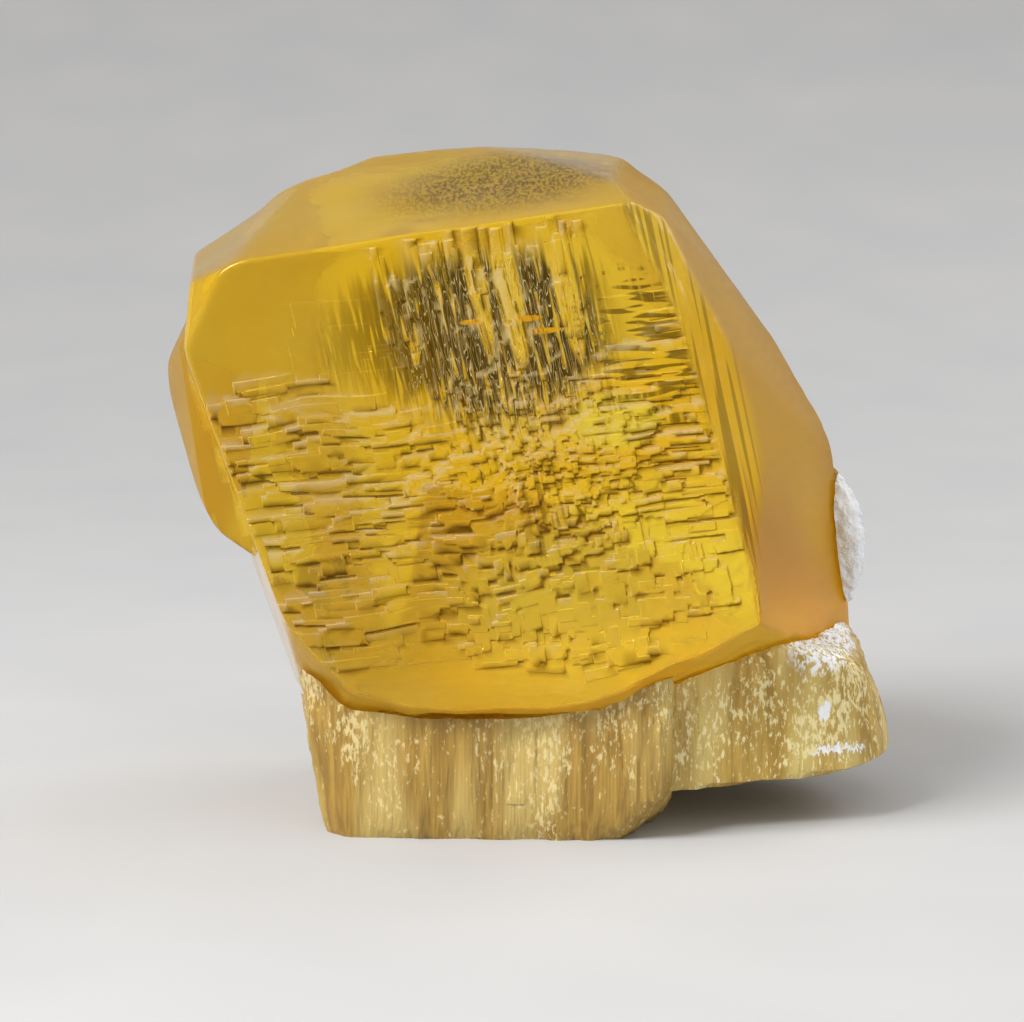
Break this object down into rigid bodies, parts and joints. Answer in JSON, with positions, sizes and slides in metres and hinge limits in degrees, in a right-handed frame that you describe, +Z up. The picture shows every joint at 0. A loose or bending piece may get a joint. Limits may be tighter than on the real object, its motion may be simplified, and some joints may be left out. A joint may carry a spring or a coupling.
{
  "type": "calcite on okenite mineral specimen",
  "caption": "Honey-yellow calcite crystal with a stepped front face, seated on a cream fibrous okenite base that is cut flat to stand on.",
  "frame": {"origin": "on the flat cut under the okenite base, below the middle of the crystal", "axes": "+Z up, +X to the viewer's right along the specimen's width, -Y towards the viewer, out of the stepped front face"},
  "size_m": [0.0653, 0.0427, 0.0599],
  "materials": {
    "honey_calcite": "clear honey-yellow crystal, glossy faces with fine growth steps",
    "cream_okenite": "cream, fibrous, pearly with bright white flecks",
    "white_okenite": "white, matt, short fibres"
  },
  "bodies": {
    "root": {"calcite_crystal": "honey_calcite", "okenite_base": "cream_okenite", "okenite_crust": "white_okenite"}
  },
  "joints": []
}
